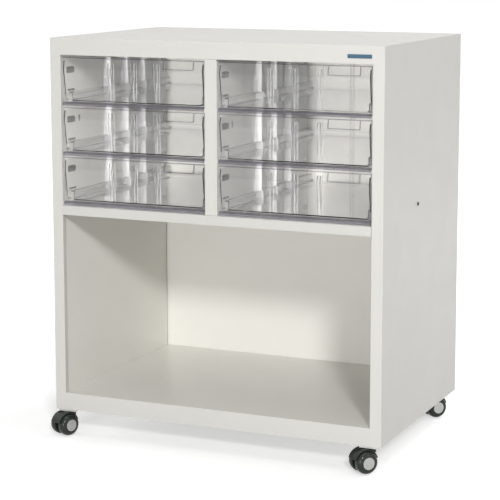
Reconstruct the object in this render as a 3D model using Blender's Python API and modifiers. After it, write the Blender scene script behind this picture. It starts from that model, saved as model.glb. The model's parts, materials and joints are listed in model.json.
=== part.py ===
# Wheeled steel cabinet: six clear drawers above an open bay, on four twin-wheel casters.
# Metres, +Z up, the front faces -Y, and the origin is on the floor under the middle of the case.

import bpy
import bmesh
from math import cos, pi, radians, sin
from mathutils import Matrix, Vector

# Case
CASE_WIDTH = 0.600
CASE_DEPTH = 0.400
SHEET = 0.001
FIT = 0.0003
STILE_WIDTH = 0.020
STILE_RETURN = 0.010
BACK_FLANGE = 0.015
TOP_RAIL_HEIGHT = 0.029
BOTTOM_RAIL_HEIGHT = 0.030
SHELF_THICKNESS = 0.016
PARTITION_WIDTH = 0.022
BAY_HEIGHT = 0.313
BOTTOM_PLATE_SHEET = 0.0012
SIDE_SCREW_SETBACK = 0.171
SIDE_SCREW_HEAD_RADIUS = 0.0032
SIDE_SCREW_SHANK_RADIUS = 0.0015

# Drawer rows
ROW_NAMES = ("bottom", "middle", "top")
ROW_PITCH = 0.085
ROW_GAP = 0.003
ROW_FOOTROOM = 0.0015
ROW_HEADROOM = 0.0005
FRONT_SIDE_GAP = 0.0025

# Drawer moulding, heights above the underside of the pull lip
DRAWER_WALL = 0.002
FRONT_WALL = 0.0025
BODY_INSET = 0.001
BAND_HEIGHT = 0.019
BAND_SETBACK = 0.005
CREASE_SETBACK = 0.001
LIP_SETBACK = 0.001
LIP_HEIGHT = 0.006
FRONT_SLOPE = 0.008
FLOOR_LIFT = 0.0075
LEDGE_LIFT = 0.020
SIDE_WALL_DROP = 0.006
DRAWER_BACK_GAP = 0.008
CORNER_RADIUS = 0.003
END_RIB_STATIONS = (1 / 3, 1 / 2, 2 / 3)
SIDE_RIB_STATIONS = (0.38, 0.553, 0.726)
RIB_HEIGHT = 0.003
FRONT_RIB_TAPER = 0.003
SIDE_RIB_HEIGHT = 0.0055
SIDE_RIB_WIDTH = 0.012
SIDE_RIB_CURVE = ((0, 0), (0.4, 0.1), (0.75, 0.4), (1, 1))
END_RIB_WIDTH = 0.002
DIVIDER_SLOT = 0.0035
RIB_TOP_DROP = 0.003
RIB_PAD_WIDTH = 0.013
RIB_PAD_HEIGHT = 0.001
LABEL_WIDTH = 0.056
LABEL_INSET = 0.0176
LABEL_LIFT = 0.0025
LABEL_RIM = 0.0015
LABEL_RISE = 0.0008

# Runners and drawer stops
RUNNER_WIDTH = 0.0105
RUNNER_DROP = 0.012
RUNNER_START = 0.024
RUNNER_BACK_GAP = 0.008
RUNNER_SIDE_GAP = 0.0012
RUNNER_SLOT_LENGTH = 0.026
RUNNER_SLOT_HEIGHT = 0.0025
CATCH_SETBACK = 0.023
CATCH_LENGTH = 0.023
CATCH_HEIGHT = 0.011
CATCH_LIFT = 0.053
HOOK_SLOT_ROW = "middle"
HOOK_SLOT_GAP = 0.014
HOOK_SLOT_LENGTH = 0.007
TONGUE_LENGTH = 0.021
TONGUE_HEIGHT = 0.007
TONGUE_REACH = 0.0032
LUG_LENGTH = 0.012
LUG_HEIGHT = 0.009
LUG_REACH = 0.003
LUG_BACK_GAP = 0.004

# Casters
WHEEL_RADIUS = 0.019
WHEEL_WIDTH = 0.0145
WHEEL_SEGMENTS = 26
WHEEL_FACE_RADIUS = 0.0135
WHEEL_GAP = 0.0006
CASTER_TRAIL = 0.016
CASTER_INSET_X = 0.0215
CASTER_INSET_Y = 0.017
AXLE_RADIUS = 0.003
BORE_CLEARANCE = 0.0004
WEB_WIDTH = 0.008
FENDER_GAP = 0.001
FENDER_WALL = 0.0016
FENDER_HALF_WIDTH = 0.0115
FENDER_ENDS = (15, 165)
BOSS_RADIUS = 0.0075
BOSS_RISE = 0.0006
PIN_RADIUS = 0.0026
PIN_LENGTH = 0.0075
PLATE_SIDE = 0.032
PLATE_THICKNESS = 0.0029
CAP_RADIUS = 0.0105
CAP_DEPTH = 0.0025
CAP_DOME = 0.0008
SMALL_SEGMENTS = 18
FENDER_STEPS = 10
CASTERS = {
    "front_left": (-1, -1, 158),
    "front_right": (1, -1, 140),
    "rear_left": (-1, 1, 10),
    "rear_right": (1, 1, 140),
}

# Levels that follow from the sizes above
fender_inner = WHEEL_RADIUS + FENDER_GAP
fender_outer = fender_inner + FENDER_WALL
hood_top = WHEEL_RADIUS + fender_outer + BOSS_RISE
plate_low = hood_top + 2 * FIT
underside = plate_low + PLATE_THICKNESS + FIT
bay_floor = underside + BOTTOM_RAIL_HEIGHT
bay_top = bay_floor + BAY_HEIGHT
shelf_top = bay_top + SHELF_THICKNESS
first_row = shelf_top + ROW_FOOTROOM
rail_low = first_row + len(ROW_NAMES) * ROW_PITCH + ROW_HEADROOM
case_top = rail_low + TOP_RAIL_HEIGHT

half_width = CASE_WIDTH / 2
front = -CASE_DEPTH / 2
back = CASE_DEPTH / 2
opening_side = half_width - STILE_WIDTH
liner_face = opening_side + SHEET + FIT
joggle = SHEET + FIT
partition_face = PARTITION_WIDTH / 2 - joggle
column_x = (opening_side + PARTITION_WIDTH / 2) / 2
wall_from_column = liner_face - column_x
top_flange_back = back - SHEET - FIT
back_panel_front = top_flange_back - 2 * SHEET - FIT
inner_back = back_panel_front - FIT

front_height = ROW_PITCH - ROW_GAP
front_half = opening_side - column_x - FRONT_SIDE_GAP
body_half = front_half - BODY_INSET
runner_edge = wall_from_column - FIT - RUNNER_WIDTH
lower_half = runner_edge - RUNNER_SIDE_GAP
drawer_back = back_panel_front - front - DRAWER_BACK_GAP
crease = front_height - BAND_HEIGHT
lip_corner = CREASE_SETBACK + FRONT_SLOPE


def clear_scene():
    for item in list(bpy.data.objects):
        bpy.data.objects.remove(item, do_unlink=True)
    for group in list(bpy.data.collections):
        bpy.data.collections.remove(group)


def make_material(name, colour, roughness, metallic):
    material = bpy.data.materials.new(name)
    material.use_nodes = True
    shader = material.node_tree.nodes["Principled BSDF"]
    shader.inputs["Base Color"].default_value = (*colour, 1)
    shader.inputs["Roughness"].default_value = roughness
    shader.inputs["Metallic"].default_value = metallic
    material.diffuse_color = (*colour, 1)
    return material


def add_object(name, mesh, material=None):
    item = bpy.data.objects.new(name, mesh)
    cabinet.objects.link(item)
    if material:
        mesh.materials.clear()
        mesh.materials.append(material)
    return item


def object_from(name, bm, material=None):
    bmesh.ops.recalc_face_normals(bm, faces=bm.faces)
    mesh = bpy.data.meshes.new(name)
    bm.to_mesh(mesh)
    bm.free()
    return add_object(name, mesh, material)


def add_block(bm, low, high):
    size = [b - a for a, b in zip(low, high)]
    middle = [(a + b) / 2 for a, b in zip(low, high)]
    place = Matrix.Translation(middle) @ Matrix.Diagonal((*size, 1))
    return bmesh.ops.create_cube(bm, size=1, matrix=place)["verts"]


def add_prism(bm, outline, axis, start, end):
    """Extrude a closed outline along X, Y or Z. The outline gives the other two axes in order."""
    index = "XYZ".index(axis)

    def point(pair):
        values = list(pair)
        values.insert(index, start)
        return Vector(values)

    face = bm.faces.new([bm.verts.new(point(pair)) for pair in outline])
    grown = bmesh.ops.extrude_face_region(bm, geom=[face])["geom"]
    moved = [part for part in grown if isinstance(part, bmesh.types.BMVert)]
    shift = Vector((0, 0, 0))
    shift[index] = end - start
    bmesh.ops.translate(bm, verts=moved, vec=shift)


def bake(item):
    """Replace the mesh with the result of the modifiers."""
    graph = bpy.context.evaluated_depsgraph_get()
    mesh = bpy.data.meshes.new_from_object(item.evaluated_get(graph))
    item.modifiers.clear()
    item.data = mesh
    return item


def combine(item, tool, operation):
    modifier = item.modifiers.new(operation.lower(), "BOOLEAN")
    modifier.operation = operation
    modifier.solver = "EXACT"
    modifier.object = tool
    bake(item)
    bpy.data.objects.remove(tool, do_unlink=True)
    return item


def folded_sheet(name, corners, axis, start, end, outside, material, sheet=SHEET):
    """Fold a strip along the corners, sweep it along the axis and thicken it away from the outside."""
    index = "XYZ".index(axis)
    bm = bmesh.new()
    points = []
    for pair in corners:
        values = list(pair)
        values.insert(index, start)
        points.append(bm.verts.new(values))
    edges = [bm.edges.new(pair) for pair in zip(points, points[1:])]
    grown = bmesh.ops.extrude_edge_only(bm, edges=edges)["geom"]
    shift = Vector((0, 0, 0))
    shift[index] = end - start
    moved = [part for part in grown if isinstance(part, bmesh.types.BMVert)]
    bmesh.ops.translate(bm, verts=moved, vec=shift)
    bmesh.ops.recalc_face_normals(bm, faces=bm.faces)
    bm.normal_update()
    outermost = max(bm.faces, key=lambda face: face.calc_center_median().dot(Vector(outside)))
    if outermost.normal.dot(Vector(outside)) < 0:
        bmesh.ops.reverse_faces(bm, faces=bm.faces)
    mesh = bpy.data.meshes.new(name)
    bm.to_mesh(mesh)
    bm.free()
    item = add_object(name, mesh, material)
    thicken = item.modifiers.new("sheet", "SOLIDIFY")
    thicken.solidify_mode = "NON_MANIFOLD"
    thicken.nonmanifold_thickness_mode = "CONSTRAINTS"
    thicken.thickness = sheet
    thicken.offset = -1
    return bake(item)


def open_pan(name, low, high, material):
    """A tray of sheet metal with its open side down."""
    bm = bmesh.new()
    add_block(bm, low, high)
    bm.normal_update()
    lowest = min(bm.faces, key=lambda face: face.calc_center_median().z)
    bmesh.ops.delete(bm, geom=[lowest], context="FACES_ONLY")
    mesh = bpy.data.meshes.new(name)
    bm.to_mesh(mesh)
    bm.free()
    item = add_object(name, mesh, material)
    thicken = item.modifiers.new("sheet", "SOLIDIFY")
    thicken.solidify_mode = "NON_MANIFOLD"
    thicken.nonmanifold_thickness_mode = "CONSTRAINTS"
    thicken.thickness = SHEET
    thicken.offset = -1
    return bake(item)


def block(name, low, high, material=None):
    bm = bmesh.new()
    add_block(bm, low, high)
    return object_from(name, bm, material)


def turned(name, profile, axis, segments, material=None):
    """Turn a profile of (along, radius) pairs about X or Z. It is closed if it stays off the axis."""
    bm = bmesh.new()
    points = []
    for along, radius in profile:
        points.append(bm.verts.new((along, radius, 0) if axis == "X" else (0, radius, along)))
    for pair in zip(points, points[1:]):
        bm.edges.new(pair)
    if min(radius for along, radius in profile) > 0:
        bm.edges.new((points[-1], points[0]))
    mesh = bpy.data.meshes.new(name)
    bm.to_mesh(mesh)
    bm.free()
    item = add_object(name, mesh)
    screw = item.modifiers.new("turn", "SCREW")
    screw.axis = axis
    screw.steps = segments
    screw.render_steps = segments
    screw.use_merge_vertices = True
    screw.merge_threshold = 0.00001
    bake(item)
    bm = bmesh.new()
    bm.from_mesh(item.data)
    bmesh.ops.recalc_face_normals(bm, faces=bm.faces)
    bm.to_mesh(item.data)
    bm.free()
    item.data.materials.clear()
    if material:
        item.data.materials.append(material)
    return item


def row_base(row):
    return first_row + row * ROW_PITCH


def build_side_panel(name, side):
    edge = side * half_width
    inner = side * opening_side
    corners = [
        (inner, front + STILE_RETURN),
        (inner, front),
        (edge, front),
        (edge, back),
        (edge - side * BACK_FLANGE, back),
    ]
    panel = folded_sheet(name, corners, "Z", underside, case_top, (side, 0, 0), painted_steel)
    notch_x = sorted((side * (half_width - SHEET), side * (opening_side - SHEET)))
    notch = block(
        "notch",
        (notch_x[0], front - SHEET, rail_low - FIT),
        (notch_x[1], front + STILE_RETURN + SHEET, case_top + SHEET),
    )
    combine(panel, notch, "DIFFERENCE")
    hole_z = screw_height()
    hole = turned("hole", cylinder_profile(-0.03, 0.03, SIDE_SCREW_SHANK_RADIUS + FIT), "X", SMALL_SEGMENTS)
    hole.location = (edge, front + SIDE_SCREW_SETBACK, hole_z)
    return combine(panel, hole, "DIFFERENCE")


def cylinder_profile(start, end, radius):
    return [(start, 0), (start, radius), (end, radius), (end, 0)]


def screw_height():
    return row_base(0) + LEDGE_LIFT - FIT - SHEET - RUNNER_DROP / 2


def build_side_screw(name, side):
    head = side * (half_width + FIT)
    crown = head + side * 0.0016
    tip = side * (liner_face + SHEET + FIT)
    profile = [
        (tip, 0),
        (tip, SIDE_SCREW_SHANK_RADIUS),
        (head, SIDE_SCREW_SHANK_RADIUS),
        (head, SIDE_SCREW_HEAD_RADIUS),
        (head + side * 0.0008, SIDE_SCREW_HEAD_RADIUS * 0.9),
        (crown, SIDE_SCREW_HEAD_RADIUS * 0.5),
        (crown, 0),
    ]
    screw = turned(name, profile, "X", 16, dark_steel)
    screw.location = (0, front + SIDE_SCREW_SETBACK, screw_height())
    return screw


def punch_wall(wall, face, side):
    """Cut the catch holes and runner slots of one wall and fold its spring tongues towards the drawer."""
    cuts = bmesh.new()
    folds = bmesh.new()
    deep = 4 * SHEET
    for row in range(len(ROW_NAMES)):
        base = row_base(row)
        slot_low = base + LEDGE_LIFT + FIT
        hole_y = (front + CATCH_SETBACK, front + CATCH_SETBACK + CATCH_LENGTH)
        slot_y = (front + RUNNER_START, front + RUNNER_START + RUNNER_SLOT_LENGTH)
        across = sorted((face - deep, face + deep))
        add_block(
            cuts,
            (across[0], hole_y[0], base + CATCH_LIFT),
            (across[1], hole_y[1], base + CATCH_LIFT + CATCH_HEIGHT),
        )
        add_block(
            cuts,
            (across[0], slot_y[0], slot_low),
            (across[1], slot_y[1], slot_low + RUNNER_SLOT_HEIGHT),
        )
        if ROW_NAMES[row] == HOOK_SLOT_ROW:
            hook_y = hole_y[1] + HOOK_SLOT_GAP
            add_block(
                cuts,
                (across[0], hook_y, base + CATCH_LIFT),
                (across[1], hook_y + HOOK_SLOT_LENGTH, base + CATCH_LIFT + CATCH_HEIGHT),
            )
        tongue_low = base + CATCH_LIFT + (CATCH_HEIGHT - TONGUE_HEIGHT) / 2
        root = hole_y[0] - 2 * SHEET
        tip = hole_y[0] + TONGUE_LENGTH
        inner = face + side * TONGUE_REACH
        behind = face - side * SHEET
        outline = [
            (behind + side * SHEET * 0.2, root),
            (face - side * SHEET * 0.2, root),
            (inner, tip),
            (inner - side * SHEET, tip),
        ]
        add_prism(folds, outline, "Z", tongue_low, tongue_low + TONGUE_HEIGHT)
    combine(wall, object_from("cuts", cuts), "DIFFERENCE")
    return combine(wall, object_from("folds", folds), "UNION")


def build_liner(name, side):
    outer = side * (liner_face + SHEET)
    inner = side * liner_face
    low_x, high_x = sorted((outer, inner))
    liner = block(
        name,
        (low_x, front + SHEET + FIT, underside + BOTTOM_PLATE_SHEET + FIT),
        (high_x, inner_back, case_top - SHEET - FIT),
        painted_steel,
    )
    return punch_wall(liner, inner, -side)


def build_partition():
    edge = PARTITION_WIDTH / 2
    half = [
        (edge, front),
        (edge, front + STILE_RETURN),
        (partition_face, front + STILE_RETURN + joggle),
        (partition_face, inner_back),
    ]
    corners = [(-x, y) for x, y in reversed(half)] + half
    wall = folded_sheet(
        "centre_partition", corners, "Z", shelf_top + FIT, rail_low - FIT, (1, 0, 0), painted_steel
    )
    return wall


def build_runner(name, column, side, row):
    wall = column * column_x + side * (wall_from_column - FIT)
    tip = column * column_x + side * runner_edge
    top = row_base(row) + LEDGE_LIFT - FIT
    corners = [(wall, top - RUNNER_DROP), (wall, top), (tip, top)]
    return folded_sheet(
        name,
        corners,
        "Y",
        front + RUNNER_START,
        back_panel_front - RUNNER_BACK_GAP,
        (side, 0, 0),
        runner_steel,
    )


def build_drawer_mesh():
    """One moulded drawer. Its origin is at the front plane, under the middle of the pull lip."""
    side_top = front_height - SIDE_WALL_DROP
    bm = bmesh.new()
    outline = [
        (-body_half, side_top),
        (-body_half, LEDGE_LIFT),
        (-lower_half, LEDGE_LIFT),
        (-lower_half, FLOOR_LIFT),
        (lower_half, FLOOR_LIFT),
        (lower_half, LEDGE_LIFT),
        (body_half, LEDGE_LIFT),
        (body_half, side_top),
    ]
    add_prism(bm, outline, "Y", 0, drawer_back)
    drawer = object_from("drawer", bm)
    round_corners(drawer, side_top)
    wall = DRAWER_WALL
    bm = bmesh.new()
    outline = [
        (wall - body_half, front_height),
        (wall - body_half, LEDGE_LIFT + wall),
        (wall - lower_half, LEDGE_LIFT + wall),
        (wall - lower_half, FLOOR_LIFT + wall),
        (lower_half - wall, FLOOR_LIFT + wall),
        (lower_half - wall, LEDGE_LIFT + wall),
        (body_half - wall, LEDGE_LIFT + wall),
        (body_half - wall, front_height),
    ]
    add_prism(bm, outline, "Y", -wall, drawer_back - wall)
    hollow = object_from("hollow", bm)
    round_corners(hollow, front_height)
    combine(drawer, hollow, "DIFFERENCE")

    middle = FRONT_WALL / 2
    ahead = -2 * CORNER_RADIUS
    bm = bmesh.new()
    outline = [
        (ahead, -LIP_HEIGHT),
        (lip_corner + middle, -LIP_HEIGHT),
        (lip_corner + middle, LIP_HEIGHT),
        (CREASE_SETBACK + middle, crease),
        (BAND_SETBACK + middle, front_height),
        (BAND_SETBACK + middle, 2 * front_height),
        (ahead, 2 * front_height),
    ]
    add_prism(bm, outline, "X", -2 * front_half, 2 * front_half)
    combine(drawer, object_from("ahead", bm), "DIFFERENCE")

    thick = FRONT_WALL
    bm = bmesh.new()
    outline = [
        (LIP_SETBACK, 0),
        (LIP_SETBACK, LIP_HEIGHT),
        (lip_corner, LIP_HEIGHT),
        (CREASE_SETBACK, crease),
        (BAND_SETBACK, front_height),
        (BAND_SETBACK + thick, front_height),
        (CREASE_SETBACK + thick, crease),
        (lip_corner + thick, LIP_HEIGHT),
        (lip_corner + thick, LIP_HEIGHT - thick),
        (LIP_SETBACK + thick, LIP_HEIGHT - thick),
        (LIP_SETBACK + thick, 0),
    ]
    add_prism(bm, outline, "X", -front_half, front_half)
    combine(drawer, object_from("panel", bm), "UNION")

    combine(drawer, build_ribs(side_top), "UNION")
    return drawer


def round_corners(item, top):
    """Round the moulded edges, apart from the ones round the open top."""
    bm = bmesh.new()
    bm.from_mesh(item.data)
    edges = []
    for edge in bm.edges:
        ends = [point.co for point in edge.verts]
        upright = abs(ends[0].z - ends[1].z) > CORNER_RADIUS
        at_back = min(point.y for point in ends) > drawer_back / 2
        along = abs(ends[0].y - ends[1].y) > CORNER_RADIUS
        on_floor = max(point.z for point in ends) < LEDGE_LIFT / 2 + FLOOR_LIFT / 2
        if (upright and at_back) or (along and on_floor) or (at_back and on_floor):
            edges.append(edge)
    bmesh.ops.bevel(
        bm,
        geom=edges,
        offset=CORNER_RADIUS,
        offset_type="OFFSET",
        segments=2,
        profile=0.5,
        affect="EDGES",
        clamp_overlap=True,
    )
    bmesh.ops.recalc_face_normals(bm, faces=bm.faces)
    bm.to_mesh(item.data)
    bm.free()


def build_ribs(side_top):
    """Divider ribs, label pocket and stop lugs, as islands that overlap the walls."""
    bm = bmesh.new()
    wall = DRAWER_WALL
    bite = wall / 2
    rib_top = side_top - RIB_TOP_DROP
    inner = body_half - wall
    back_face = drawer_back - wall
    length = back_face - BAND_SETBACK - FRONT_WALL
    for share in SIDE_RIB_STATIONS:
        station_y = BAND_SETBACK + FRONT_WALL + share * length
        for side in (-1, 1):
            for step in (-1, 1):
                near = station_y + step * DIVIDER_SLOT / 2
                far = near + step * SIDE_RIB_WIDTH
                outline = [
                    (side * (inner - rise * SIDE_RIB_HEIGHT), far + along * (near - far))
                    for along, rise in SIDE_RIB_CURVE
                ]
                outline += [(side * (inner + bite), near), (side * (inner + bite), far)]
                add_prism(bm, outline, "Z", LEDGE_LIFT + bite, rib_top)
    for share in END_RIB_STATIONS:
        station_x = (2 * share - 1) * inner
        for step in (-1, 1):
            near = station_x + step * DIVIDER_SLOT / 2
            far = near + step * END_RIB_WIDTH
            low_x, high_x = sorted((near, far))
            add_block(
                bm,
                (low_x, back_face - RIB_HEIGHT, FLOOR_LIFT + bite),
                (high_x, back_face + bite, rib_top),
            )
            run = FRONT_SLOPE / (crease - LIP_HEIGHT)
            low = FLOOR_LIFT + bite
            low_y = lip_corner + FRONT_WALL - (low - LIP_HEIGHT) * run
            high = crease - FRONT_WALL
            high_y = lip_corner + FRONT_WALL - (high - LIP_HEIGHT) * run
            outline = [
                (low_y - bite, low),
                (low_y + RIB_HEIGHT, low),
                (low_y + RIB_HEIGHT - FRONT_RIB_TAPER, high),
                (high_y - bite, high),
            ]
            add_prism(bm, outline, "X", low_x, high_x)
        outline = [
            (CREASE_SETBACK + FRONT_WALL - bite, crease),
            (BAND_SETBACK + FRONT_WALL - bite, front_height - FRONT_WALL),
            (BAND_SETBACK + FRONT_WALL + RIB_PAD_HEIGHT, front_height - FRONT_WALL),
            (CREASE_SETBACK + FRONT_WALL + RIB_PAD_HEIGHT, crease),
        ]
        add_prism(bm, outline, "X", station_x - RIB_PAD_WIDTH / 2, station_x + RIB_PAD_WIDTH / 2)
    right = front_half - LABEL_INSET
    left = right - LABEL_WIDTH
    outline = [
        (left, front_height - LABEL_RIM),
        (left, crease + LABEL_LIFT),
        (right, crease + LABEL_LIFT),
        (right, front_height - LABEL_RIM),
        (right - LABEL_RIM, front_height - LABEL_RIM),
        (right - LABEL_RIM, crease + LABEL_LIFT + LABEL_RIM),
        (left + LABEL_RIM, crease + LABEL_LIFT + LABEL_RIM),
        (left + LABEL_RIM, front_height - LABEL_RIM),
    ]
    lean = (BAND_SETBACK - CREASE_SETBACK) / BAND_HEIGHT
    known = set(bm.verts)
    add_prism(bm, outline, "Y", CREASE_SETBACK - LABEL_RISE, CREASE_SETBACK + FRONT_WALL / 2)
    for point in set(bm.verts) - known:
        point.co.y += lean * (point.co.z - crease)
    lug_y = drawer_back - LUG_BACK_GAP - LUG_LENGTH
    lug_low = CATCH_LIFT + (CATCH_HEIGHT - LUG_HEIGHT) / 2
    for side in (-1, 1):
        low_x, high_x = sorted((side * (body_half - bite), side * (body_half + LUG_REACH)))
        add_block(bm, (low_x, lug_y, lug_low), (high_x, lug_y + LUG_LENGTH, lug_low + LUG_HEIGHT))
    return object_from("ribs", bm)


def arc(radius, start, end, steps):
    turns = [radians(start + (end - start) * step / steps) for step in range(steps + 1)]
    return [(CASTER_TRAIL + radius * cos(turn), WHEEL_RADIUS + radius * sin(turn)) for turn in turns]


def build_hood_mesh():
    """Web between the wheels, fender over them and boss round the swivel pin."""
    half = FENDER_HALF_WIDTH
    bm = bmesh.new()
    outline = arc(fender_outer, *FENDER_ENDS, FENDER_STEPS)
    outline += arc(fender_inner, *reversed(FENDER_ENDS), FENDER_STEPS)
    add_prism(bm, outline, "X", -half, half)
    hood = object_from("hood", bm)
    bm = bmesh.new()
    hub = 2.2 * AXLE_RADIUS
    outline = arc(fender_inner + FENDER_WALL / 2, *FENDER_ENDS, FENDER_STEPS) + arc(hub, 200, 340, 6)
    add_prism(bm, outline, "X", -WEB_WIDTH / 2, WEB_WIDTH / 2)
    combine(hood, object_from("web", bm), "UNION")
    socket_low = hood_top - PIN_LENGTH - FIT
    boss_low = socket_low - FENDER_WALL / 2
    boss = turned("boss", cylinder_profile(boss_low, hood_top, BOSS_RADIUS), "Z", SMALL_SEGMENTS)
    combine(hood, boss, "UNION")
    for side in (-1, 1):
        ends = sorted((side * WEB_WIDTH / 2, side * (half + WHEEL_GAP)))
        well = turned("well", cylinder_profile(*ends, fender_inner), "X", SMALL_SEGMENTS)
        well.location = (0, CASTER_TRAIL, WHEEL_RADIUS)
        combine(hood, well, "DIFFERENCE")
    socket = turned(
        "socket",
        cylinder_profile(socket_low, hood_top + PIN_LENGTH, PIN_RADIUS + BORE_CLEARANCE),
        "Z",
        SMALL_SEGMENTS,
    )
    combine(hood, socket, "DIFFERENCE")
    bore = turned("bore", cylinder_profile(-half, half, AXLE_RADIUS + FIT), "X", SMALL_SEGMENTS)
    bore.location = (0, CASTER_TRAIL, WHEEL_RADIUS)
    return combine(hood, bore, "DIFFERENCE")


def build_wheel():
    """One wheel, its inner face at x = 0 and its hub cap seat on the outer face."""
    rim = WHEEL_RADIUS / cos(pi / WHEEL_SEGMENTS)
    bore = (AXLE_RADIUS + BORE_CLEARANCE) / cos(pi / WHEEL_SEGMENTS)
    seat = (CAP_RADIUS + FIT) / cos(pi / WHEEL_SEGMENTS)
    crown = WHEEL_RADIUS - WHEEL_FACE_RADIUS
    width = WHEEL_WIDTH
    profile = [
        (0, bore),
        (0, rim - crown * 0.2),
        (width * 0.1, rim),
        (width * 0.5, rim),
        (width * 0.75, rim - crown * 0.3),
        (width * 0.9, rim - crown * 0.65),
        (width, rim - crown),
        (width, seat),
        (width - CAP_DEPTH, seat),
        (width - CAP_DEPTH, bore),
    ]
    return turned("wheel", profile, "X", WHEEL_SEGMENTS, black_plastic)


def build_cap():
    base = WHEEL_WIDTH - CAP_DEPTH + FIT
    profile = [
        (base, 0),
        (base, CAP_RADIUS),
        (WHEEL_WIDTH, CAP_RADIUS),
        (WHEEL_WIDTH + CAP_DOME / 2, CAP_RADIUS * 0.9),
        (WHEEL_WIDTH + CAP_DOME, CAP_RADIUS * 0.5),
        (WHEEL_WIDTH + CAP_DOME, 0),
    ]
    return turned("cap", profile, "X", SMALL_SEGMENTS, grey_plastic)


def build_caster_plate():
    half = PLATE_SIDE / 2
    plate = block("plate", (-half, -half, plate_low), (half, half, plate_low + PLATE_THICKNESS))
    low = hood_top - PIN_LENGTH
    pin = turned("pin", cylinder_profile(low, plate_low + PLATE_THICKNESS / 2, PIN_RADIUS), "Z", SMALL_SEGMENTS)
    return combine(plate, pin, "UNION")


def mirror_mesh(source, name):
    """The same turned piece, facing the other way along X."""
    mesh = source.copy()
    mesh.name = name
    mesh.transform(Matrix.Scale(-1, 4, (1, 0, 0)))
    mesh.flip_normals()
    return mesh


def take_mesh(item, name, material):
    mesh = item.data
    mesh.name = name
    mesh.materials.clear()
    mesh.materials.append(material)
    bpy.data.objects.remove(item, do_unlink=True)
    return mesh


def build_casters():
    hood = take_mesh(build_hood_mesh(), "caster_hood", black_plastic)
    plate = take_mesh(build_caster_plate(), "caster_plate", zinc_steel)
    axle_half = WEB_WIDTH / 2 + WHEEL_GAP + WHEEL_WIDTH - CAP_DEPTH - FIT
    axle_profile = cylinder_profile(-axle_half, axle_half, AXLE_RADIUS)
    axle = take_mesh(turned("axle", axle_profile, "X", SMALL_SEGMENTS), "caster_axle", zinc_steel)
    wheel = take_mesh(build_wheel(), "caster_wheel", black_plastic)
    cap = take_mesh(build_cap(), "caster_cap", grey_plastic)
    wheels = {1: wheel, -1: mirror_mesh(wheel, "caster_wheel_mirrored")}
    caps = {1: cap, -1: mirror_mesh(cap, "caster_cap_mirrored")}
    inner_face = WEB_WIDTH / 2 + WHEEL_GAP
    for corner, (side_x, side_y, turn) in CASTERS.items():
        place_x = side_x * (half_width - CASTER_INSET_X)
        place_y = side_y * (CASE_DEPTH / 2 - CASTER_INSET_Y)
        add_object(f"{corner}_caster_plate", plate).location = (place_x, place_y, 0)
        swivel = add_object(f"{corner}_swivel_axis", None)
        swivel.location = (place_x, place_y, 0)
        swivel.rotation_euler = (0, 0, radians(turn))
        add_object(f"{corner}_hood", hood).parent = swivel
        rolling = add_object(f"{corner}_axle", axle)
        rolling.parent = swivel
        rolling.location = (0, CASTER_TRAIL, WHEEL_RADIUS)
        for number, side in ((1, 1), (2, -1)):
            for word, meshes in (("wheel", wheels), ("cap", caps)):
                piece = add_object(f"{corner}_{word}_{number}", meshes[side])
                piece.parent = swivel
                piece.location = (side * inner_face, CASTER_TRAIL, WHEEL_RADIUS)


def build_case():
    build_side_panel("left_side_panel", -1)
    build_side_panel("right_side_panel", 1)
    build_side_screw("left_side_screw", -1)
    build_side_screw("right_side_screw", 1)
    lid_half = half_width - SHEET - FIT
    open_pan("top_panel", (-lid_half, front, rail_low), (lid_half, top_flange_back, case_top), painted_steel)
    back_half = lid_half - SHEET - FIT
    block(
        "back_panel",
        (-back_half, back_panel_front, underside + BOTTOM_PLATE_SHEET + FIT),
        (back_half, back_panel_front + SHEET, case_top - SHEET - FIT),
        painted_steel,
    )
    floor_half = opening_side - FIT
    floor_corners = [
        (front, underside),
        (front, bay_floor),
        (inner_back, bay_floor),
        (inner_back, underside + BOTTOM_PLATE_SHEET + FIT),
    ]
    folded_sheet("bay_floor", floor_corners, "X", -floor_half, floor_half, (0, 0, 1), painted_steel)
    plate = block(
        "bottom_plate",
        (-lid_half, front + SHEET + FIT, underside),
        (lid_half, back - SHEET - FIT, underside + BOTTOM_PLATE_SHEET),
        painted_steel,
    )
    notches = bmesh.new()
    for side in (-1, 1):
        low_x, high_x = sorted((side * (opening_side - FIT), side * liner_face))
        add_block(
            notches,
            (low_x, front, underside - SHEET),
            (high_x, front + STILE_RETURN + FIT, underside + 2 * BOTTOM_PLATE_SHEET),
        )
    combine(plate, object_from("notches", notches), "DIFFERENCE")
    shelf_low = (-floor_half, front, bay_top)
    open_pan("middle_shelf", shelf_low, (floor_half, inner_back, shelf_top), painted_steel)
    for name, side in (("left_liner", -1), ("right_liner", 1)):
        liner = build_liner(name, side)
        hole = turned("hole", cylinder_profile(-0.03, 0.03, SIDE_SCREW_SHANK_RADIUS + FIT), "X", SMALL_SEGMENTS)
        hole.location = (side * half_width, front + SIDE_SCREW_SETBACK, screw_height())
        combine(liner, hole, "DIFFERENCE")
    partition = build_partition()
    for side in (-1, 1):
        punch_wall(partition, side * partition_face, side)


def build_drawers_and_runners():
    mesh = take_mesh(build_drawer_mesh(), "drawer", clear_plastic)
    for word, column in (("left", -1), ("right", 1)):
        for row, row_name in enumerate(ROW_NAMES):
            drawer = add_object(f"{word}_drawer_{row_name}", mesh)
            drawer.location = (column * column_x, front, row_base(row))
            for place, side in (("outer", column), ("inner", -column)):
                build_runner(f"{word}_{place}_runner_{row_name}", column, side, row)


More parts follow.
